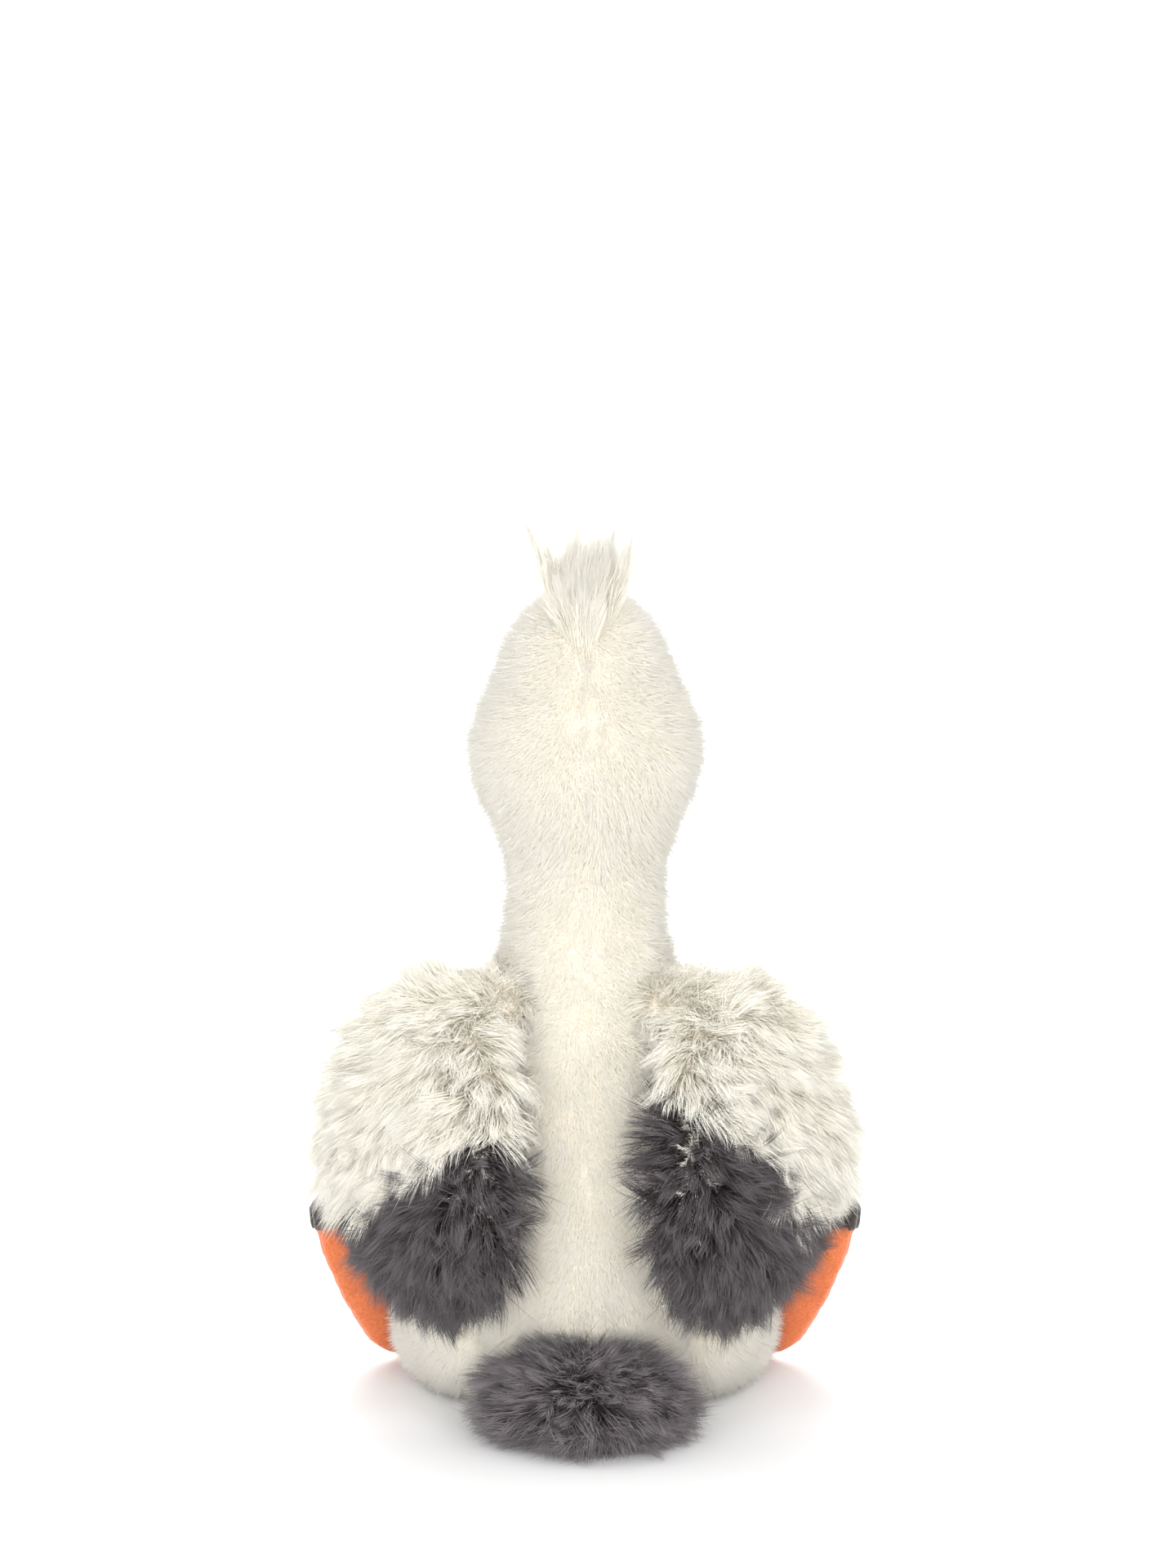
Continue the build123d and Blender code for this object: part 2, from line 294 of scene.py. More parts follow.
# ---- fur ------------------------------------------------------------------------------------------
def strand_paths(roots, normals, combs, lengths, lean, steps):
    """Paths that leave the skin at lean[0] from its normal and end at lean[1], towards combs."""
    path = [roots]
    for i in range(steps):
        t = (i + 0.5) / steps
        angle = lean[0] + (lean[1] - lean[0]) * t
        angle = np.asarray(angle).reshape(-1, 1)
        way = np.cos(angle) * normals + np.sin(angle) * combs
        path.append(path[-1] + unit(way) * lengths[:, None] / steps)
    return np.stack(path, axis=1)


def short_pile(roots, out, comb, lengths, lean):
    """Paths of straight strands, each of one segment."""
    return strand_paths(roots - out * ROOT_DEPTH, out, comb, lengths, (lean, lean), 1)


def locks_of(roots, rng, strands):
    """Each lock's leading strand and each strand's lock, where a lock holds about so many strands."""
    count = max(3, int(len(roots) / strands))
    heads = rng.choice(len(roots), count, replace=False)
    tree = KDTree(count)
    for i, head in enumerate(heads):
        tree.insert(roots[head], i)
    tree.balance()
    return heads, np.array([tree.find(root)[1] for root in roots])


def gather(paths, locks, rng, pull, stray=0.12):
    """Draws the ends of each lock's strands together, all but a few stray ones."""
    heads, lock = locks
    share = np.linspace(0, 1, paths.shape[1]) ** 1.2 * pull
    own = rng.uniform(0.45, 1.15, len(lock)) * rng.uniform(0.7, 1.15, len(heads))[lock]
    own *= rng.random(len(lock)) > stray
    strength = own[:, None, None] * share[None, :, None]
    centre = paths[heads][lock]
    return paths + (centre - paths) * np.clip(strength, 0, 1)


def tufted(paths, roots, rng):
    """Short pile drawn together into small tufts."""
    return gather(paths, locks_of(roots, rng, TUFT_STRANDS), rng, TUFT_PULL)


def shag(roots, out, comb, lengths, lean, rng, strands, pull, unruly=0.5, lively=11.0):
    """Long strands in pointed locks, each of which strays a little from the way its neighbours lie."""
    locks = locks_of(roots, rng, strands)
    heads, lock = locks
    comb = along_surface(comb + unruly * rng.normal(size=(len(heads), 3))[lock], out)
    lengths = lengths * rng.uniform(0.8, 1.18, len(heads))[lock]
    lift = np.radians(rng.normal(size=len(heads)) * lively)[lock]
    lean = (np.radians(lean[0]), np.clip(np.radians(lean[1]) + lift, 0.2, 1.62))
    return gather(strand_paths(roots - out * 0.5, out, comb, lengths, lean, 3), locks, rng, pull)


def tubes(name, paths, radius, tones, material, rng):
    """Three-sided tapering strands along paths, as one mesh. Each strand's colour comes from its tone."""
    paths = paths * MM
    paths[:, :, 2] = np.maximum(paths[:, :, 2], FLOOR_CLEAR)
    count, rings = paths.shape[0], paths.shape[1] - 1
    way = unit(np.gradient(paths, axis=1))
    side = unit(rng.normal(size=(count, 1, 3)))
    first = unit(side - (side * way).sum(axis=2, keepdims=True) * way)
    second = np.cross(way, first)
    taper = np.linspace(1, TIP_TAPER, rings + 1) ** 0.7
    wide = np.asarray(radius).reshape(-1, 1) * MM * taper[None, :]
    corners = []
    for j in range(3):
        a = 2 * pi * j / 3
        corners.append(paths + wide[:, :, None] * (cos(a) * first + sin(a) * second))
    ring = np.stack(corners, axis=2)[:, :rings].reshape(count, rings * 3, 3)
    points = np.concatenate([ring, paths[:, -1:]], axis=1)
    per = rings * 3 + 1
    quads = [(i * 3 + j, i * 3 + (j + 1) % 3, i * 3 + 3 + (j + 1) % 3, i * 3 + 3 + j)
             for i in range(rings - 1) for j in range(3)]
    tips = [((rings - 1) * 3 + j, (rings - 1) * 3 + (j + 1) % 3, rings * 3) for j in range(3)]
    pattern = np.array([v for f in quads + tips for v in f])
    sizes = np.array([4] * len(quads) + [3] * len(tips))
    loops = (pattern[None, :] + (np.arange(count) * per)[:, None]).ravel()
    starts = np.concatenate([[0], np.cumsum(sizes)[:-1]])
    starts = (starts[None, :] + (np.arange(count) * len(pattern))[:, None]).ravel()
    mesh = bpy.data.meshes.new(name)
    mesh.vertices.add(count * per)
    mesh.vertices.foreach_set("co", points.astype(np.float32).ravel())
    mesh.loops.add(len(loops))
    mesh.loops.foreach_set("vertex_index", loops.astype(np.int32))
    mesh.polygons.add(count * len(sizes))
    mesh.polygons.foreach_set("loop_start", starts.astype(np.int32))
    at = np.array([(i // 3) / rings for i in range(rings * 3)] + [1.0])
    across = np.array([(i % 3 - 1) * 0.004 for i in range(rings * 3)] + [0.0])
    u = np.clip(tones, 0.01, 0.99)[:, None] + across[None, :]
    v = np.repeat((0.02 + 0.96 * at)[None, :], count, axis=0)
    uv = np.stack([u, v], axis=2).reshape(-1, 2)[loops]
    mesh.update(calc_edges=True)
    layer = mesh.uv_layers.new(name="OFBake")
    layer.data.foreach_set("uv", uv.astype(np.float32).ravel())
    mesh.shade_smooth()
    mesh.materials.append(material)
    piece = bpy.data.objects.new(name, mesh)
    bpy.context.scene.collection.objects.link(piece)
    return piece


def tone_of(roots, rng, size=9.0, seed=5, own=0.2):
    """A strand's tone from 0 to 1: partly its own, partly shared with its neighbours."""
    return np.clip(0.5 + 0.3 * noise(roots, size, seed) + own * rng.normal(size=len(roots)), 0.02, 0.98)


# ---- materials ------------------------------------------------------------------------------------
def material_nodes(name, roughness, sheen=0.0, specular=0.3):
    material = bpy.data.materials.new(name)
    material.use_nodes = True
    nodes, links = material.node_tree.nodes, material.node_tree.links
    shader = nodes["Principled BSDF"]
    shader.inputs["Roughness"].default_value = roughness
    shader.inputs["Specular IOR Level"].default_value = specular
    shader.inputs["Sheen Weight"].default_value = sheen
    shader.inputs["Sheen Roughness"].default_value = 0.5
    return material, nodes, links, shader


def ramp(nodes, stops):
    node = nodes.new("ShaderNodeValToRGB")
    elements = node.color_ramp.elements
    while len(elements) < len(stops):
        elements.new(0.5)
    for element, (place, colour) in zip(elements, stops):
        element.position = place
        element.color = (*colour, 1)
    return node


def fur_material(name, along, dark, light, roughness=0.75, specular=0.2):
    """Colour runs from root to tip along each strand, between a dark and a light strand's tint."""
    material, nodes, links, shader = material_nodes(name, roughness, specular=specular)
    place = nodes.new("ShaderNodeUVMap")
    place.uv_map = "OFBake"
    split = nodes.new("ShaderNodeSeparateXYZ")
    links.new(place.outputs["UV"], split.inputs[0])
    # Along each strand the colour darkens towards the root: partly the fur's own tone, partly painted shade
    # deep in the pile.
    length = ramp(nodes, along)
    links.new(split.outputs["Y"], length.inputs["Fac"])
    tint = ramp(nodes, [(0.0, dark), (1.0, light)])
    links.new(split.outputs["X"], tint.inputs["Fac"])
    mix = nodes.new("ShaderNodeMix")
    mix.data_type = "RGBA"
    mix.blend_type = "MULTIPLY"
    mix.inputs["Factor"].default_value = 1.0
    links.new(length.outputs["Color"], mix.inputs["A"])
    links.new(tint.outputs["Color"], mix.inputs["B"])
    links.new(mix.outputs["Result"], shader.inputs["Base Color"])
    return material


def cloth_material(name, colours, grain, bump, roughness=0.9, sheen=0.4, specular=0.2, blotch=14.0):
    """Brushed cloth: a fine grain in both colour and height over slow blotches. Sizes are in mm."""
    material, nodes, links, shader = material_nodes(name, roughness, sheen, specular)
    place = nodes.new("ShaderNodeTexCoord")
    fine = nodes.new("ShaderNodeTexNoise")
    fine.inputs["Scale"].default_value = 1 / (grain * MM)
    fine.inputs["Detail"].default_value = 4
    slow = nodes.new("ShaderNodeTexNoise")
    slow.inputs["Scale"].default_value = 1 / (blotch * MM)
    slow.inputs["Detail"].default_value = 3
    for texture in (fine, slow):
        links.new(place.outputs["Object"], texture.inputs["Vector"])
    both = nodes.new("ShaderNodeMath")
    both.operation = "MULTIPLY_ADD"
    both.inputs[1].default_value = 0.45
    links.new(slow.outputs["Fac"], both.inputs[0])
    links.new(fine.outputs["Fac"], both.inputs[2])
    colour = ramp(nodes, [(0.5, colours[0]), (0.72, colours[1]), (0.95, colours[2])])
    links.new(both.outputs[0], colour.inputs["Fac"])
    links.new(colour.outputs["Color"], shader.inputs["Base Color"])
    height = nodes.new("ShaderNodeBump")
    height.inputs["Strength"].default_value = 0.6
    height.inputs["Distance"].default_value = bump * MM
    links.new(fine.outputs["Fac"], height.inputs["Height"])
    links.new(height.outputs["Normal"], shader.inputs["Normal"])
    return material


# The cream ramps run from darker, warmer roots to pale tips: partly the fur's own tone, partly painted
# shade deep in the pile.
CREAM_FUR = fur_material(
    "cream_short_fur",
    [(0.0, (0.86, 0.77, 0.62)), (0.35, (0.96, 0.93, 0.85)), (1.0, (0.98, 0.965, 0.915))],
    (0.97, 0.955, 0.92),
    (1.0, 1.0, 1.0),
)
CREAM_SHAG = fur_material(
    "cream_long_fur",
    [(0.0, (0.94, 0.87, 0.73)), (0.35, (0.975, 0.945, 0.865)), (1.0, (0.99, 0.975, 0.92))],
    (0.97, 0.955, 0.91),
    (1.0, 1.0, 1.0),
)
GREY_STRANDS = {"dark": (0.5, 0.48, 0.49), "light": (1.15, 1.13, 1.15), "roughness": 0.45, "specular": 0.45}
# The grey ramps run from near-black roots to light tips: partly the fur's own tone, partly painted shade
# deep in the pile and painted highlight on the tips.
FLIGHT_SHAG = fur_material(
    "flight_long_fur",
    [(0.0, (0.026, 0.021, 0.022)), (0.45, (0.076, 0.067, 0.069)), (1.0, (0.215, 0.2, 0.208))],
    **GREY_STRANDS,
)
TAIL_SHAG = fur_material(
    "tail_long_fur",
    [(0.0, (0.038, 0.031, 0.032)), (0.45, (0.13, 0.116, 0.119)), (1.0, (0.37, 0.345, 0.355))],
    **GREY_STRANDS,
)
CREAM_SKIN = cloth_material(
    "cream_backing", [(0.88, 0.81, 0.69), (0.93, 0.88, 0.79), (0.96, 0.93, 0.86)], 0.8, 0.5
)
GREY_SKIN = cloth_material(
    "grey_backing", [(0.03, 0.027, 0.03), (0.05, 0.045, 0.05), (0.08, 0.075, 0.08)], 0.8, 0.5
)
ORANGE_CLOTH = cloth_material(
    "orange_velour", [(0.55, 0.125, 0.042), (0.64, 0.165, 0.058), (0.72, 0.215, 0.085)], 0.9, 0.35
)
CHARCOAL_CLOTH = cloth_material(
    "charcoal_felt", [(0.02, 0.014, 0.013), (0.045, 0.034, 0.033), (0.09, 0.07, 0.07)], 0.7, 0.4
)


# ---- short plush of the body, neck and head --------------------------------------------------------
def seam_depth(points):
    """How far the centre-back, side and throat seams draw the plush in, in mm."""
    x, y, z = points.T
    behind = (y > 0) & (z > 8) & (z < 291)
    pucker = 0.7 + 0.5 * noise(points, 6.0, 21)
    back = np.where(behind, groove(x, 2.4, 1.5 * pucker), 0)
    flank = (z < 160) & (abs(x) > 20)
    sides = np.where(flank, groove(y - 0.5, 2.2, 1.1 * pucker), 0)
    throat = (y < -20) & (z > 175) & (z < 232)
    return 0.75 * back + sides + np.where(throat, groove(x, 2.2, pucker), 0)


def shape_plush(points, faces):
    """Lumps of stuffing and drawn-in seams, worked into the plain skin."""
    normals = surface_of(points, faces)[1]
    lumps = 0.9 * noise(points, 26.0, 11) + 0.35 * noise(points, 9.0, 12)
    above = np.clip(points[:, 2] / 12, 0, 1)
    moved = raised(points, normals, above * (lumps - seam_depth(points)))
    moved[:, 2] = np.maximum(moved[:, 2], 0.3)
    return moved


def plush_length(points):
    """Length of the short pile in mm: shorter at seams, round the eyes and under the seat."""
    length = 6.4 + 0.9 * noise(points, 7.0, 31)
    length *= 1 - 0.3 * np.clip(seam_depth(points) / 1.5, 0, 1)
    for side in (-1, 1):
        gap = np.linalg.norm(points - EYE_SPOT * [side, 1, 1], axis=1)
        length *= np.clip((gap - 2.5) / 9, 0.28, 1)
    return length * np.clip(points[:, 2] / 6, 0.2, 1)


def plush_comb(points, normals, rng):
    """The pile lies mostly downwards, in loose swirls, and parts at the centre-back seam."""
    swirl = swirl_of(points, 24.0, (41, 42, 43))
    part = np.zeros_like(points)
    near = np.exp(-((points[:, 0] / 7) ** 2)) * (points[:, 1] > 0)
    part[:, 0] = np.sign(points[:, 0]) * near
    wild = rng.normal(size=points.shape) * 0.5
    return along_surface(-UP * 1.0 + swirl * 0.6 + part * 0.25 + wild, normals)


def plush_fur(name, roots, out, rng):
    """Short pile with a few longer guard strands."""
    comb = plush_comb(roots, out, rng)
    lengths = plush_length(roots) * rng.uniform(0.7, 1.15, len(roots))
    guard = rng.random(len(roots)) < 0.25
    lengths *= np.where(guard, 1.5, 1.0)
    lean = np.radians(rng.uniform(10, 64, len(roots)) * np.where(guard, 0.7, 1.0))
    paths = tufted(short_pile(roots, out, comb, lengths, lean), roots, rng)
    return tubes(name, paths, rng.uniform(*FINE_STRAND, len(roots)), tone_of(roots, rng), CREAM_FUR, rng)


def bare_spot(points):
    """True where the eyes and the bill leave no pile."""
    bill = np.hypot(points[:, 0] / 17.5, (points[:, 2] - 257) / 14) < 1
    bare = bill & (points[:, 1] < -30)
    for side in (-1, 1):
        bare |= np.linalg.norm(points - EYE_SPOT * [side, 1, 1], axis=1) < EYE_CLEAR
    return bare


def hidden_by_leg(points):
    """True where a leg is pressed against the body."""
    found = np.zeros(len(points), bool)
    for side in (-1, 1):
        p = points * [side, 1, 1] - HIP
        t = np.clip(p @ LEG_AIM, 0, LEG_LONG)
        found |= np.linalg.norm(p - t[:, None] * LEG_AIM, axis=1) < LEG_RADIUS - 2
    return found


def make_plush():
    rows, around = 230, 180
    points, faces = stack(PLUSH_CUTS, rows, around)
    points = shape_plush(points, faces)
    split = int(np.argmin(abs(points[: rows * around : around, 2] - PLUSH_SPLIT)))
    ring = split * around
    bottom_point = rows * around
    lower = [f for f in faces if f[0] == bottom_point or max(f) < ring + around]
    upper = [f for f in faces if f[0] != bottom_point and max(f) >= ring + around]
    skins = {}
    for name, part in (("body_plush", lower), ("head_plush", upper)):
        used, small = cut_out(part)
        skins[name] = mesh_object(name, points[used], small, CREAM_SKIN)
    cut = points[ring, 2]
    pieces = {"body": [skins["body_plush"]], "head": [skins["head_plush"]]}

    def left(p):
        return p[:, 0] >= 0

    def belly(p):
        return (p[:, 2] <= cut) & (p[:, 1] < 0) & ~hidden_by_leg(p)

    def back(p):
        return (p[:, 2] <= cut) & (p[:, 1] >= 0) & ~hidden_by_leg(p)

    def head(p):
        return p[:, 2] > cut

    zones = [
        ("body", "left_belly_fur", lambda p: belly(p) & left(p)),
        ("body", "right_belly_fur", lambda p: belly(p) & ~left(p)),
        ("body", "left_back_fur", lambda p: back(p) & left(p)),
        ("body", "right_back_fur", lambda p: back(p) & ~left(p)),
        ("head", "left_head_fur", lambda p: head(p) & left(p)),
        ("head", "right_head_fur", lambda p: head(p) & ~left(p)),
    ]
    for i, (group, name, inside) in enumerate(zones):
        rng = np.random.default_rng(100 + i)
        roots, out = scatter(
            points, faces, PILE_DENSITY, rng, lambda p: inside(p) & ~bare_spot(p) & (p[:, 2] > 1.0)
        )
        pieces[group].append(plush_fur(name, roots, out, rng))
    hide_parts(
        "base_panel", "belly_panel", "left_back_panel", "right_back_panel",
        "body_stuffing", "pellet_pouch", "pellet_fill",
    )
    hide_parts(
        "left_head_panel", "right_head_panel", "head_stuffing", "left_neck_panel",
        "right_neck_panel", "neck_stuffing", "left_eye_washer", "right_eye_washer",
    )
    for piece in pieces["body"]:
        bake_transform(piece)
    for piece in pieces["head"]:
        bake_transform(piece)


# ---- wings ----------------------------------------------------------------------------------------
def wing_turn(points, side):
    """From the wing's own axes (out, back and up) to the toy's. It takes points or whole paths."""
    c, s = cos(WING_AROUND), sin(WING_AROUND)
    turned = points.reshape(-1, 3) @ np.array([[c, s, 0], [-s, c, 0], [0, 0, 1]])
    return (turned * [side, 1, 1]).reshape(points.shape)


def wing_middle(z):
    """How far out the wing's middle line is at height z, in the wing's axes."""
    cuts = np.array(WING_CUTS)
    return curve(z, cuts[:, 0], cuts[:, 3])


def wing_shape(side):
    """Points, in the wing's axes, and faces of the wing's pad."""
    points, faces = stack(WING_CUTS, 90, 96, inset=WING_PAD_INSET)
    half = curve(points[:, 2], np.array(WING_CUTS)[:, 0], np.array(WING_CUTS)[:, 1])
    middle = wing_middle(points[:, 2])
    inward = np.minimum(points[:, 0] - middle, 0)
    widen = np.clip((half - WING_INNER_INSET) / np.maximum(half - WING_PAD_INSET, 4), 1, 1.6)
    points[:, 0] += inward * (widen - 1) - 1
    lumps = 0.9 * noise(points, 18.0, 50 + side) + 0.3
    return raised(points, surface_of(points, faces)[1], lumps), faces


def above_seam(points, side):
    """How far points are above the line where the wing's cream pile meets the grey."""
    across = np.where(points[:, 1] > -6, points[:, 1], -6 - 0.1 * (points[:, 1] + 6))
    wave = WING_SEAM_WAVE[side] * noise(points, 9.0, 60 + side)
    return points[:, 2] - WING_SEAM_HEIGHT - WING_SEAM_RISE[side] * across - wave


def wing_pile(part, side, roots, out, rng):
    """Paths of the long pile on one of a wing's two covers. It fans out from the cover's crown."""
    count = len(roots)
    covert = part == "covert"
    fan = unit(roots - (COVERT_CROWN if covert else FLIGHT_CROWN))
    swirl = swirl_of(roots, 10.0, (71, 72, 73))
    wild = rng.normal(size=roots.shape) * 0.35
    spread, down = (0.5, 0.9) if covert else (1.0, 0.3)
    way = fan * spread - UP * down + swirl * 0.8 + wild
    way[:, 2] = np.minimum(way[:, 2], -0.25)
    comb = along_surface(way, out)
    rim = np.clip((roots[:, 2] - 148) / 16, 0, 1)
    toe = np.clip((94 - roots[:, 2]) / 20, 0, 1) * np.clip((-4 - roots[:, 1]) / 16, 0, 1)
    lengths = (23.5 - 5 * rim - 9 * toe + 3.0 * noise(roots, 6.0, 74)) * rng.uniform(0.7, 1.12, count)
    if covert:
        lean = (rng.uniform(10, 34, count), rng.uniform(58, 84, count))
        return shag(roots, out, comb, lengths, lean, rng, 55, 0.72, 0.36, 7)
    near = np.clip(-above_seam(roots, side) / 12, 0, 1)
    lengths *= 0.6 + 0.4 * near
    start = rng.uniform(6, 26, count) + 24 * (1 - near)
    lean = (start, rng.uniform(48, 74, count) + 12 * (1 - near))
    return shag(roots, out, comb, lengths, lean, rng, 24, 0.82)


def make_wing(side, name):
    rng = np.random.default_rng(300 + side)
    points, faces = wing_shape(side)
    pad = mesh_object(name + "_wing_pad", wing_turn(points, side), facing(faces, side), CREAM_SKIN)
    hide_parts(name + "_wing_lining", name + "_wing_stuffing")
    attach(pad, name + "_wing")

    def outer(p):
        return p[:, 0] > wing_middle(p[:, 2]) - WING_OUTER_REACH

    def covert(p):
        return outer(p) & (above_seam(p, side) > 0)

    def flight(p):
        return outer(p) & (above_seam(p, side) <= 0)

    parts = [
        ("covert_back_fur", lambda p: covert(p) & (p[:, 1] > 0), "covert"),
        ("covert_front_fur", lambda p: covert(p) & (p[:, 1] <= 0), "covert"),
        ("flight_back_fur", lambda p: flight(p) & (p[:, 1] > 14), "flight"),
        ("flight_front_fur", lambda p: flight(p) & (p[:, 1] <= 14), "flight"),
    ]
    for title, keep, part in parts:
        roots, out = scatter(points, faces, 3.0, rng, keep)
        paths = wing_turn(wing_pile(part, side, roots, out, rng), side)
        radius = rng.uniform(*LONG_STRAND, len(roots))
        material, slot = (CREAM_SHAG, "cream_shag") if part == "covert" else (FLIGHT_SHAG, "grey_shag")
        fur = tubes(f"{name}_{title}", paths, radius, tone_of(roots, rng, 7.0, 8, 0.28), material, rng)
        if "back" in title:
            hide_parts(f"{name}_wing_{part}")
        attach(fur, name + "_wing")
    roots, out = scatter(points, faces, 2.6, rng, lambda p: ~outer(p))
    comb = along_surface(-UP + rng.normal(size=roots.shape) * 0.5, out)
    lean = np.radians(rng.uniform(15, 55, len(roots)))
    lengths = rng.uniform(4.5, 7.5, len(roots))
    paths = wing_turn(short_pile(roots, out, comb, lengths, lean), side)
    radius = rng.uniform(0.2, 0.3, len(roots))
    fur = tubes(f"{name}_lining_fur", paths, radius, tone_of(roots, rng), CREAM_FUR, rng)
    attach(fur, name + "_wing")


def make_wing_root(side, name):
    """The sewn fold that ties the wing's top to the body."""
    rng = np.random.default_rng(350 + side)
    points, faces = ball(np.array([42, -6, 155.5]), np.array([17, 15, 8.5]), 24, 40)
    fold = mesh_object(name + "_wing_root", wing_turn(points, side), facing(faces, side), CREAM_SKIN)
    roots, out = scatter(points, faces, 2.4, rng)
    comb = along_surface(-UP * 0.8 + [0.3, 0, 0] + rng.normal(size=roots.shape) * 0.35, out)
    lean = (rng.uniform(10, 34, len(roots)), rng.uniform(56, 82, len(roots)))
    lengths = rng.uniform(9, 16, len(roots))
    paths = wing_turn(shag(roots, out, comb, lengths, lean, rng, 45, 0.6, 0.4, 7), side)
    radius = rng.uniform(*LONG_STRAND, len(roots))
    fur = tubes(name + "_wing_root_fur", paths, radius, tone_of(roots, rng), CREAM_SHAG, rng)
    for piece in (fold, fur):
        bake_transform(piece)


# ---- tail -----------------------------------------------------------------------------------------
def make_tail():
    rng = np.random.default_rng(400)
    points, faces = ball(TAIL_MIDDLE + [0, -3, -5.5], TAIL_HALF - [10, 9, 13.5], 40, 64)
    points = raised(points, surface_of(points, faces)[1], 0.8 * noise(points, 12.0, 81))
    pad = mesh_object("tail_pad", points, faces, GREY_SKIN)
    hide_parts("tail_stuffing")
    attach(pad, "tail")
    seam, body_side = TAIL_MIDDLE[2] - 1, 50
    for title, keep, node in (
        ("tail_top_fur", lambda p: (p[:, 2] >= seam) & (p[:, 1] > body_side), "tail_top_cover"),
        ("tail_under_fur", lambda p: (p[:, 2] < seam) & (p[:, 1] > body_side), "tail_under_cover"),
    ):
        roots, out = scatter(points, faces, 4.6, rng, keep)
        swirl = swirl_of(roots, 11.0, (84, 85, 86))
        wild = rng.normal(size=roots.shape) * 0.35
        fan = (roots - TAIL_ROOT) / [16, 60, 16]
        comb = along_surface(fan + swirl * 0.8 - UP * 0.2 + wild, out)
        lengths = (20 + 3 * noise(roots, 6.0, 87)) * rng.uniform(0.7, 1.12, len(roots))
        lean = (rng.uniform(12, 40, len(roots)), rng.uniform(54, 84, len(roots)))
        paths = shag(roots, out, comb, lengths, lean, rng, 24, 0.75, 0.4)
        paths[:, :, 2] = np.maximum(paths[:, :, 2], 0.5 + 1.5 * rng.random((len(roots), 1)))
        radius = rng.uniform(*LONG_STRAND, len(roots))
        fur = tubes(title, paths, radius, tone_of(roots, rng, 7.0, 9, 0.28), TAIL_SHAG, rng)
        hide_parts(node)
        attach(fur, "tail")


# ---- legs -----------------------------------------------------------------------------------------
def make_leg(side, name):
    rng = np.random.default_rng(500 + side)
    points, faces = ball(np.zeros(3), np.ones(3), 60, 72)
    stretch = np.clip(points @ LEG_AIM, 0, None)
    points = points * (LEG_RADIUS - 0.8)
    points = HIP + points + np.outer(stretch**0.5 * LEG_LONG, LEG_AIM)
    points = raised(points, surface_of(points, faces)[1], 0.7 * noise(points, 15.0, 91))
    points[:, 2] = np.maximum(points[:, 2], 0.3)
    pad = mesh_object(name + "_leg_pad", points * [side, 1, 1], facing(faces, side), CREAM_SKIN)
    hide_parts(name + "_leg_cover", name + "_leg_stuffing")
    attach(pad, name + "_leg")
    roots, out = scatter(points, faces, PILE_DENSITY, rng, lambda p: p[:, 2] > 1)
    swirl = swirl_of(roots, 14.0, (94, 95, 96))
    comb = along_surface(-UP * 0.6 + LEG_AIM * 0.3 + swirl * 0.8 + rng.normal(size=roots.shape) * 0.35, out)
    lean = np.radians(rng.uniform(12, 62, len(roots)))
    lengths = rng.uniform(4.8, 9.6, len(roots)) * np.clip(roots[:, 2] / 7, 0.25, 1)
    paths = tufted(short_pile(roots, out, comb, lengths, lean), roots, rng) * [side, 1, 1]
    radius = rng.uniform(*FINE_STRAND, len(roots))
    fur = tubes(name + "_leg_fur", paths, radius, tone_of(roots, rng), CREAM_FUR, rng)
    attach(fur, name + "_leg")


# ---- feet -----------------------------------------------------------------------------------------
FOOT_EDGE = [  # half of the foot's outline, heel to middle toe, in mm: (across, up)
    (0, -14), (8, -12.3), (15.5, -7.5), (20.8, -0.6), (24.8, 8.3), (28.9, 19), (32, 30), (34.6, 41),
    (36.5, 53), (36.3, 59), (33.4, 62.8), (29, 63.4), (24.5, 61), (20, 60.2), (15.5, 61),
    (11.5, 64.8), (8.5, 70), (7.4, 75.6), (4.4, 80.6), (0, 82),
]


def foot_place(points, side):
    """From the foot's own axes (across to its inner side, up its toes, out of its upper) to the toy's."""
    level = np.array([cos(radians(30)), sin(radians(30)), 0])
    toes = level * sin(FOOT_LEAN) + UP * cos(FOOT_LEAN)
    inner = -level * cos(FOOT_LEAN) + UP * sin(FOOT_LEAN)
    back = np.cross(inner, toes)
    return (FOOT_HEEL + points @ np.array([inner, toes, back])) * [side, 1, 1]


def puff(piece, pressure, reach, frames=20):
    """Swells a mesh with a cloth simulation, and lets no point move further than reach (mm)."""
    rest = np.array([v.co for v in piece.data.vertices])
    cloth = piece.modifiers.new("cloth", "CLOTH")
    settings = cloth.settings
    settings.use_pressure = True
    settings.uniform_pressure_force = pressure
    settings.effector_weights.gravity = 0
    settings.quality = 6
    settings.mass = 0.3
    settings.tension_stiffness = 18
    settings.compression_stiffness = 18
    settings.bending_stiffness = 0.6
    cloth.point_cache.frame_start = 1
    cloth.point_cache.frame_end = frames
    scene = bpy.context.scene
    for i in range(1, frames + 1):
        scene.frame_set(i)
    shaped = piece.evaluated_get(bpy.context.evaluated_depsgraph_get())
    moved = np.array([v.co for v in shaped.data.vertices])
    piece.modifiers.remove(cloth)
    scene.frame_set(1)
    change = moved - rest
    far = np.linalg.norm(change, axis=1, keepdims=True)
    change *= np.minimum(1, reach * MM / np.maximum(far, 1e-9))
    piece.data.vertices.foreach_set("co", (rest + change).astype(np.float32).ravel())
    piece.data.update()


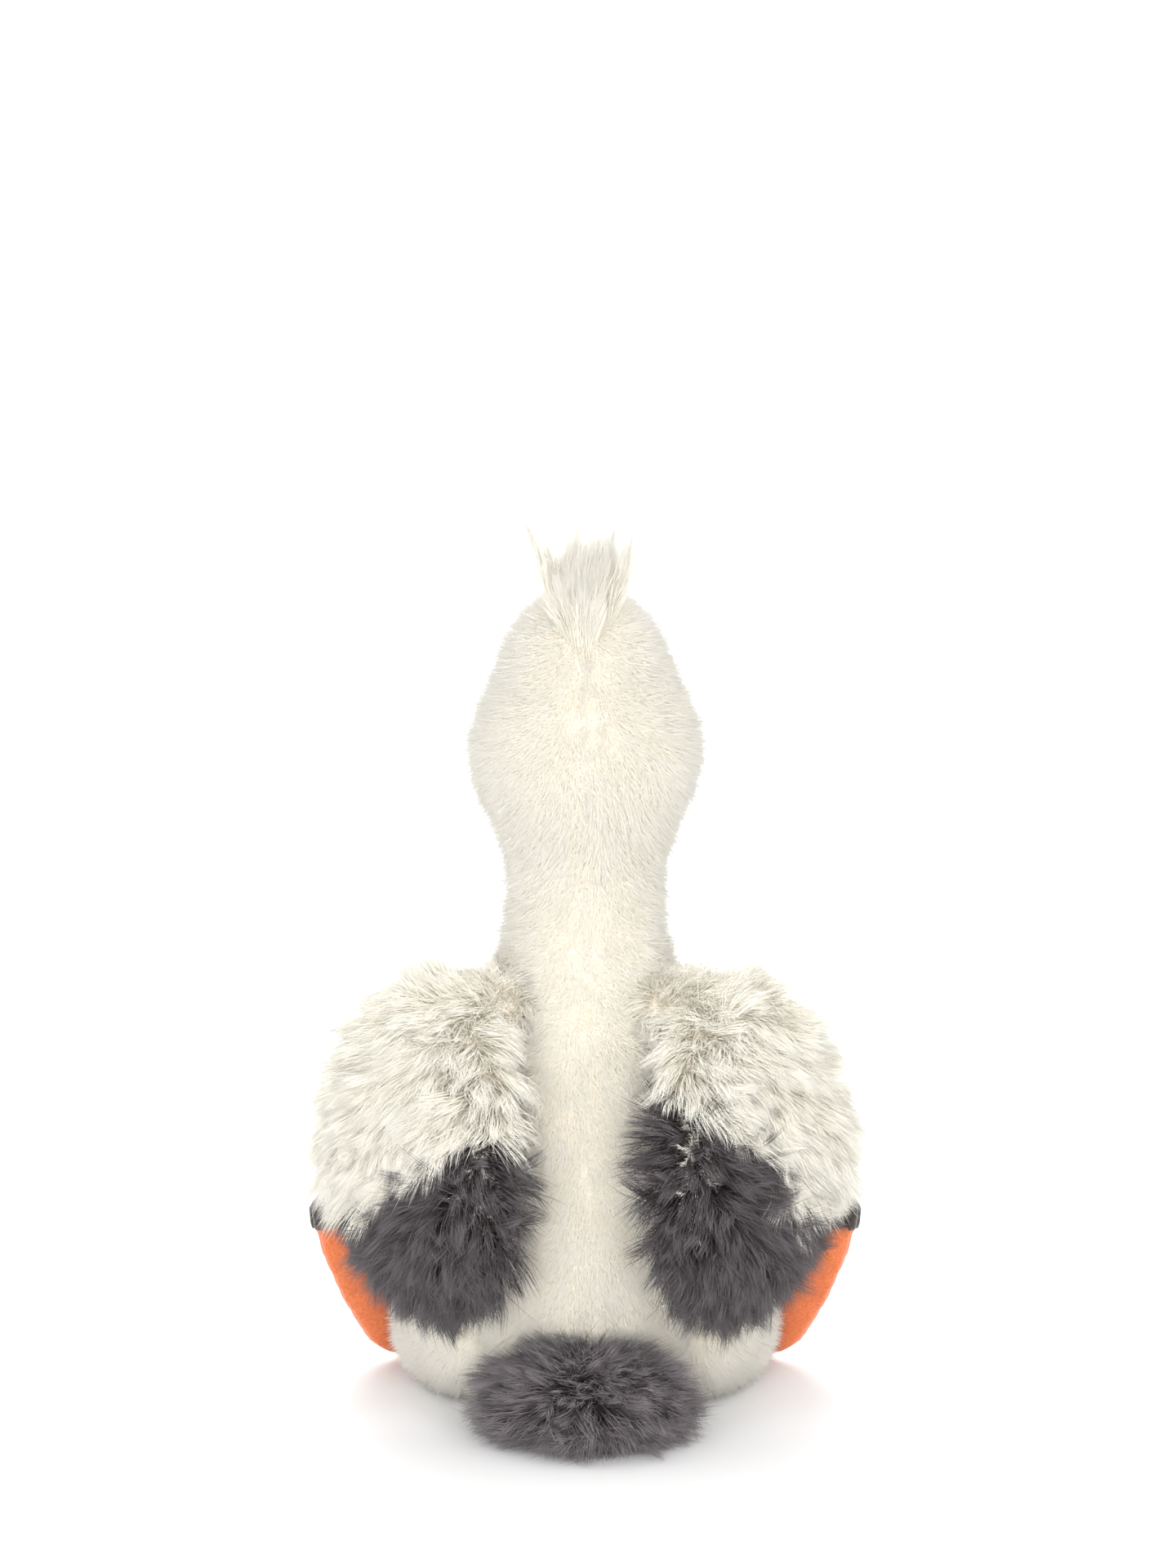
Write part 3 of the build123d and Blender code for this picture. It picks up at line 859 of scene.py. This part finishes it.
def foot_blank():
    """A flat closed foot, a little smaller than the finished one, ready to be swollen."""
    edge = np.array(FOOT_EDGE, float)
    outline = np.vstack([edge, (edge * [-1, 1])[-2:0:-1]])
    middle = np.array([0, 30])
    outline = middle + (outline - middle) * [1.06, 1.0]
    count = len(outline)
    points = np.vstack([np.c_[outline, np.full(count, z)] for z in (-FOOT_HALF_THICK, FOOT_HALF_THICK)])
    faces = [tuple(range(count - 1, -1, -1)), tuple(range(count, 2 * count))]
    faces += [(i, (i + 1) % count, count + (i + 1) % count, count + i) for i in range(count)]
    blank = mesh_object("foot_blank", points, faces, None, smooth=False)
    remesh = blank.modifiers.new("remesh", "REMESH")
    remesh.mode = "VOXEL"
    remesh.voxel_size = 1.9 * MM
    puffed = bpy.data.objects.new("foot_puffed", finished_mesh(blank))
    bpy.context.scene.collection.objects.link(puffed)
    return puffed


def channel_depth(points):
    """The stitched lines that part the three toes, as a depth from 0 to 1."""
    depth = np.zeros(len(points))
    for side in (-1, 1):
        a, b = np.array([side * 4.5, 12.0]), np.array([side * 19.5, 62.0])
        way = b - a
        t = np.clip(((points[:, :2] - a) @ way) / (way @ way), 0, 1)
        gap = np.linalg.norm(points[:, :2] - a - t[:, None] * way, axis=1)
        depth = np.maximum(depth, groove(gap, 1.9, np.clip(t * 8, 0, 1)))
    return depth


def make_foot_shape():
    """Points (mm, in the foot's own axes) and faces of the finished foot."""
    puffed = foot_blank()
    puff(puffed, 5.0, 3.0)
    smooth = puffed.modifiers.new("smooth", "SMOOTH")
    smooth.iterations = 2
    finer = puffed.modifiers.new("finer", "SUBSURF")
    finer.levels = 1
    mesh = finished_mesh(puffed)
    points = np.array([v.co for v in mesh.vertices]) / MM
    faces = [tuple(p.vertices) for p in mesh.polygons]
    bpy.data.meshes.remove(mesh)
    points[:, 2] *= 1 - 0.62 * channel_depth(points)
    return points, faces


def edge_seam(points, faces):
    """Draws the fabric in along the line where the foot's upper meets its sole."""
    normals = surface_of(points, faces)[1]
    near = groove(points[:, 2], 0.8, 1 - abs(normals[:, 2]))
    pucker = 0.75 + 0.45 * noise(points, 3.5, 121)
    return raised(points, normals, -near * pucker * 0.9)


def make_claws(points, normals, faces, side, name):
    """The dark patches over a foot's toe tips, lifted off the foot's cloth by their own thickness."""
    patches = []
    for x, y in CLAW_SPOTS:
        local = points - [x, y, 0]
        inside = (local[:, 0] ** 2 + local[:, 1] ** 2 < CLAW_RADIUS**2) & (points[:, 2] > -3.5)
        patches.extend(f for f in faces if inside[list(f)].all())
    used, small = cut_out(patches)
    lifted = foot_place(points[used] + normals[used] * 0.5, side)
    piece = mesh_object(name + "_claw_patches", lifted, small, CHARCOAL_CLOTH)
    thick = piece.modifiers.new("thick", "SOLIDIFY")
    thick.thickness = 0.9 * MM
    thick.offset = 0.6
    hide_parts(name + "_claws")
    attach(piece, name + "_foot")


def make_feet():
    points, faces = make_foot_shape()
    points = edge_seam(points, faces)
    wrinkles = 0.35 * noise(points, 8.0, 122) + 0.12 * noise(points, 2.5, 123)
    points = raised(points, surface_of(points, faces)[1], wrinkles)
    normals = surface_of(points, faces)[1]
    for side, name in ((1, "left"), (-1, "right")):
        placed = foot_place(points, side)
        turned = facing(faces, side)
        upper_faces = [f for f in turned if points[list(f), 2].mean() > 0]
        sole_faces = [f for f in turned if points[list(f), 2].mean() <= 0]
        for title, part in (("upper", upper_faces), ("sole", sole_faces)):
            used, small = cut_out(part)
            piece = mesh_object(f"{name}_foot_{title}_cloth", placed[used], small, ORANGE_CLOTH)
            extra = [f"{name}_foot_stuffing"] if title == "upper" else []
            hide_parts(f"{name}_foot_{title}", *extra)
            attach(piece, name + "_foot")
        make_claws(points, normals, turned, side, name)


# ---- crest ----------------------------------------------------------------------------------------
def make_crest():
    rng = np.random.default_rng(600)
    count = 12500
    up = rng.random(count) ** 0.75
    half = 2.0 + 12.0 * up
    across = rng.uniform(-1, 1, count)
    x = across * half
    z = 285 + 20 * up
    back = curve(z, [281, 288, 298, 304.5, 308], [20, 18, 13, 6.5, 0])
    y = back - 0.022 * x**2 + rng.uniform(-2.5, 0.5, count)
    roots = np.stack([x, y, z], axis=1)
    lump = noise(roots, 5.0, 134)
    aim = np.stack([across * (0.02 + 0.08 * up), 0.3 - 0.26 * up, np.ones(count)], axis=1)
    swirl = swirl_of(roots, 5.0, (131, 132, 133)) * [0.3, 0.25, 0.05]
    aim = unit(aim + swirl + rng.normal(size=aim.shape) * 0.09)
    out = np.stack([np.zeros(count), np.ones(count), np.zeros(count)], axis=1)
    bend = np.stack([swirl[:, 0] * 2, np.full(count, 0.3), np.zeros(count)], axis=1)
    lengths = (33 + 4 * lump) * rng.uniform(0.68, 1.1, count)
    lean = (np.zeros(count), rng.uniform(2, 15, count))
    paths = shag(roots - out, aim, bend, lengths, lean, rng, 60, 0.8, 0.25, 6)
    radius = rng.uniform(0.11, 0.18, count)
    fur = tubes("crest_fur", paths, radius, tone_of(roots, rng, 5.0, 7), CREAM_SHAG, rng)
    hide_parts("crest_tuft")
    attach(fur, "head")


# ---- bill and eyes --------------------------------------------------------------------------------
BILL_CUTS = [  # (forward reach, centre height, half width, half height)
    (36, 257, 17.5, 14.2),
    (50, 256.6, 16.6, 13.2),
    (66, 255, 14.6, 11.4),
    (82, 252.6, 11.6, 8.9),
    (93, 250.4, 8.6, 6.5),
    (99, 249, 5.6, 4.2),
    (101.6, 248.4, 2.2, 1.7),
]


def make_bill():
    cuts = np.array(BILL_CUTS, float)
    rows, around = 60, 72
    reach = np.concatenate([[0], np.cumsum(np.hypot(np.diff(cuts[:, 0]), np.diff(cuts[:, 3])))])
    s = np.linspace(0, reach[-1], rows)
    y, z = -curve(s, reach, cuts[:, 0]), curve(s, reach, cuts[:, 1])
    wide, tall = curve(s, reach, cuts[:, 2]), curve(s, reach, cuts[:, 3])
    angle = np.arange(around) * 2 * pi / around
    px = wide[:, None] * np.cos(angle)
    py = np.repeat(y[:, None], around, axis=1)
    pz = z[:, None] + tall[:, None] * np.sin(angle)
    rings = np.stack([px, py, pz], axis=2).reshape(-1, 3)
    ends = np.array([[0, y[0], z[0]], [0, y[-1] - 0.4, z[-1]]])
    points = np.vstack([rings, ends])
    faces = tube_faces(rows, around)
    normals = -surface_of(points, facing(faces, -1))[1]
    mouth = np.concatenate([np.repeat(z - 0.18 * tall, around), [z[0], z[-1]]])
    gap = points[:, 2] - mouth
    pucker = 0.8 + 0.35 * noise(points, 4.0, 141)
    points = raised(points, normals, -groove(gap, 1.3, 1.5 * pucker))
    points = raised(points, normals, 0.35 * noise(points, 9.0, 142) + 0.12 * noise(points, 2.6, 143))
    for title, keep in (("upper", gap >= 0), ("lower", gap < 0)):
        used, small = cut_out([f for f in faces if keep[list(f)].mean() >= 0.5])
        piece = mesh_object(f"bill_{title}_cloth", points[used], small, ORANGE_CLOTH)
        extra = ["bill_stuffing"] if title == "upper" else []
        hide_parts("bill_" + title, *extra)
        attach(piece, "head")


def eye_material():
    material, nodes, links, shader = material_nodes("black_bead", 0.08, specular=0.5)
    # The bead's colour lightens towards its rim as it turns away from the camera: a painted rim sheen over
    # the real coat.
    layer = nodes.new("ShaderNodeLayerWeight")
    layer.inputs["Blend"].default_value = 0.3
    colour = ramp(nodes, [(0.0, (0.012, 0.008, 0.007)), (1.0, (0.03, 0.022, 0.02))])
    links.new(layer.outputs["Facing"], colour.inputs["Fac"])
    links.new(colour.outputs["Color"], shader.inputs["Base Color"])
    shader.inputs["Coat Weight"].default_value = 0.6
    shader.inputs["Coat Roughness"].default_value = 0.03
    return material


def make_eyes():
    bead = eye_material()
    for name in ("left_eye", "right_eye"):
        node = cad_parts[name]
        node.data.materials.clear()
        node.data.materials.append(bead)
        node.data.shade_smooth()


# ---- floor, light and camera ----------------------------------------------------------------------
def aim_at(thing, target):
    way = Vector(target) - thing.location
    thing.rotation_euler = way.to_track_quat("-Z", "Y").to_euler()


def make_studio():
    corners = [(FLOOR_HALF * x, FLOOR_HALF * y, 0) for x, y in ((-1, -1), (1, -1), (1, 1), (-1, 1))]
    floor = mesh_object("floor", corners, [(0, 1, 2, 3)], None)
    material, _, _, shader = material_nodes("floor_white", 0.6, specular=0.2)
    shader.inputs["Base Color"].default_value = (0.93, 0.93, 0.93, 1)
    floor.data.materials.append(material)
    scene = bpy.context.scene
    scene.view_settings.view_transform = "Standard"
    world = bpy.data.worlds.new("studio")
    scene.world = world
    world.use_nodes = True
    sky = world.node_tree.nodes["Background"]
    sky.inputs["Color"].default_value = (1, 1, 1, 1)
    sky.inputs["Strength"].default_value = SKY_STRENGTH
    for name, place, aim, size, power, spread, colour in LAMPS:
        data = bpy.data.lights.new(name, "AREA")
        data.shape = "DISK"
        data.size = size
        data.energy = power
        data.spread = radians(spread)
        data.color = colour
        lamp = bpy.data.objects.new(name, data)
        lamp.location = place
        aim_at(lamp, aim)
        scene.collection.objects.link(lamp)
    data = bpy.data.cameras.new("camera")
    data.lens = CAMERA_LENS
    data.sensor_width = CAMERA_SENSOR
    camera = bpy.data.objects.new("camera", data)
    way = np.array([0, cos(CAMERA_TILT), sin(CAMERA_TILT)])
    camera.location = CAMERA_TARGET + CAMERA_DISTANCE * way
    aim_at(camera, CAMERA_TARGET)
    scene.collection.objects.link(camera)
    scene.camera = camera


make_studio()
make_plush()
make_wing(1, "left")
make_wing(-1, "right")
make_wing_root(1, "left")
make_wing_root(-1, "right")
make_tail()
make_leg(1, "left")
make_leg(-1, "right")
make_feet()
make_crest()
make_bill()
make_eyes()
